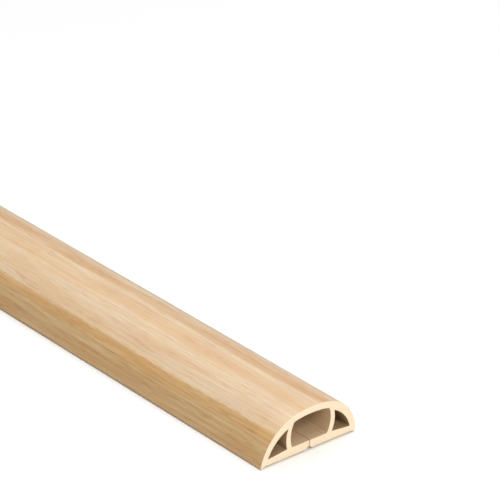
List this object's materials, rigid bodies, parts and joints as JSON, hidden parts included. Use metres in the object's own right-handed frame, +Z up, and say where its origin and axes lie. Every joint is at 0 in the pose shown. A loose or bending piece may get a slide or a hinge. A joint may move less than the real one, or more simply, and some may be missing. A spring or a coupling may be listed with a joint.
{
  "type": "floor cord cover",
  "caption": "Low arched floor cord cover: soft extruded trunking with cable channels, a slit base and adhesive strips under it.",
  "frame": {"origin": "on the floor under the middle of the cover, half-way along it", "axes": "+Y along the length, X across the width, +Z up from the floor to the crown"},
  "size_m": [0.05, 1, 0.0195],
  "materials": {
    "wood_print_pvc": "satin",
    "foam_tape": "matte",
    "red_liner": "gloss"
  },
  "bodies": {
    "root": {"cover_extrusion": "wood_print_pvc", "tape_left": "foam_tape", "tape_right": "foam_tape", "liner_left": "red_liner", "liner_right": "red_liner"}
  },
  "joints": []
}
